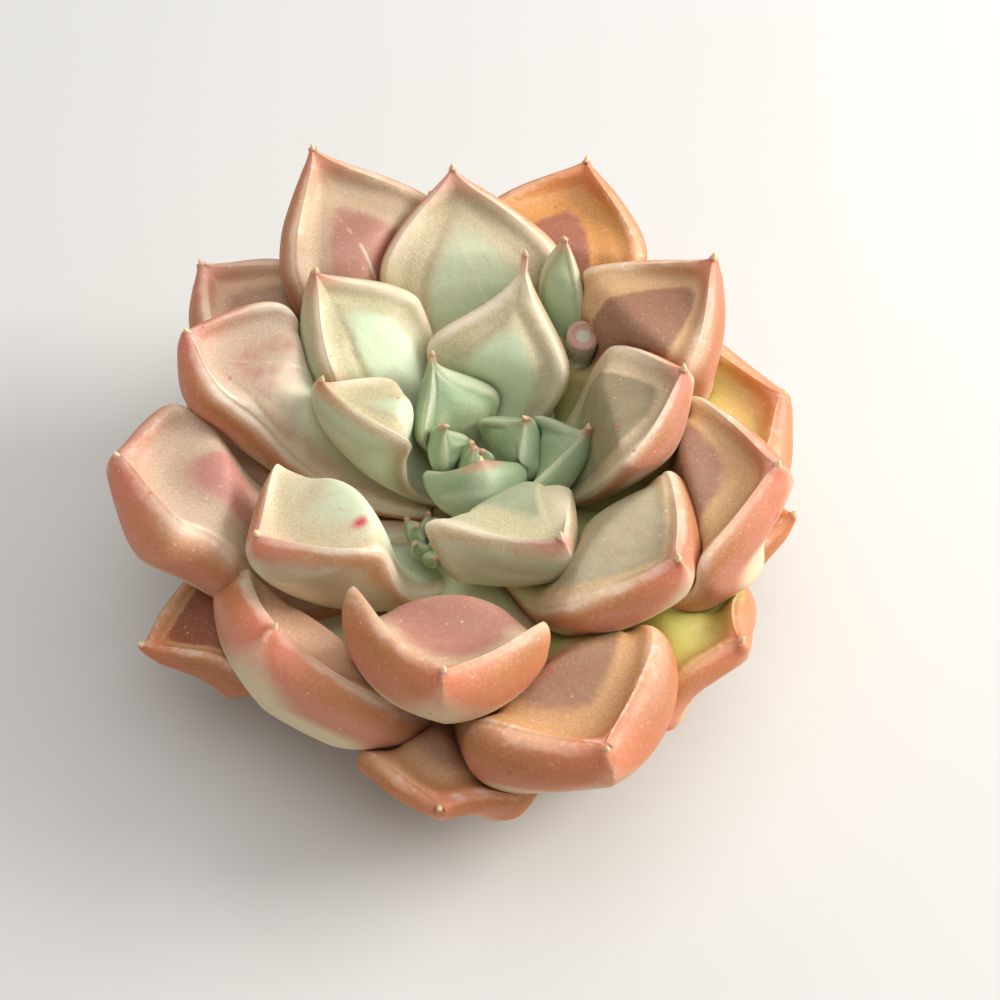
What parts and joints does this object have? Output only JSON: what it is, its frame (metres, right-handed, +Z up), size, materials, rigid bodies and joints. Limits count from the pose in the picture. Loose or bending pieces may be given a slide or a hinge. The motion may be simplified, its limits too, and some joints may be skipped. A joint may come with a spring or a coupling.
{
  "type": "echeveria rosette",
  "caption": "fleshy succulent rosette of thick boat-shaped pointed leaves on a short cut stem, with a side shoot, a small bract and the stump of a cut flower stalk",
  "frame": {"origin": "the middle of the stem's flat cut end", "axes": "+Z is up through the heart of the rosette, -Y is the side that faces the viewer, +X is to the viewer's right"},
  "size_m": [0.0697, 0.0735, 0.0311],
  "materials": {
    "stem": "matte, corky",
    "shoot": "matte waxy green",
    "flower_stalk": "matte, pinkish",
    "heart_leaf": "matte waxy grey-green with a pale bloom",
    "middle_leaf": "matte waxy khaki to pink-brown with a pale bloom",
    "outer_leaf": "matte waxy coral to peach with a pale bloom"
  },
  "bodies": {
    "root": {"stem": "stem", "crown_bud": "shoot", "leaf_01": "heart_leaf", "leaf_02": "heart_leaf", "leaf_03": "heart_leaf", "leaf_04": "heart_leaf", "leaf_05": "heart_leaf", "leaf_06": "heart_leaf", "leaf_07": "heart_leaf", "leaf_08": "heart_leaf", "leaf_09": "heart_leaf", "flower_stalk": "flower_stalk", "side_shoot": "shoot", "leaf_10": "middle_leaf", "leaf_11": "middle_leaf", "leaf_12": "middle_leaf", "leaf_13": "middle_leaf", "bract": "heart_leaf", "leaf_14": "middle_leaf", "leaf_15": "middle_leaf", "leaf_16": "middle_leaf", "leaf_17": "middle_leaf", "leaf_18": "outer_leaf", "leaf_19": "outer_leaf", "leaf_20": "outer_leaf", "leaf_21": "outer_leaf", "leaf_22": "outer_leaf", "leaf_23": "outer_leaf", "leaf_24": "outer_leaf", "leaf_25": "outer_leaf", "leaf_26": "outer_leaf", "leaf_27": "outer_leaf", "leaf_28": "outer_leaf", "leaf_29": "outer_leaf", "leaf_30": "outer_leaf", "leaf_31": "outer_leaf", "leaf_32": "outer_leaf", "leaf_33": "outer_leaf", "leaf_34": "outer_leaf", "leaf_35": "outer_leaf", "leaf_36": "outer_leaf"}
  },
  "joints": []
}
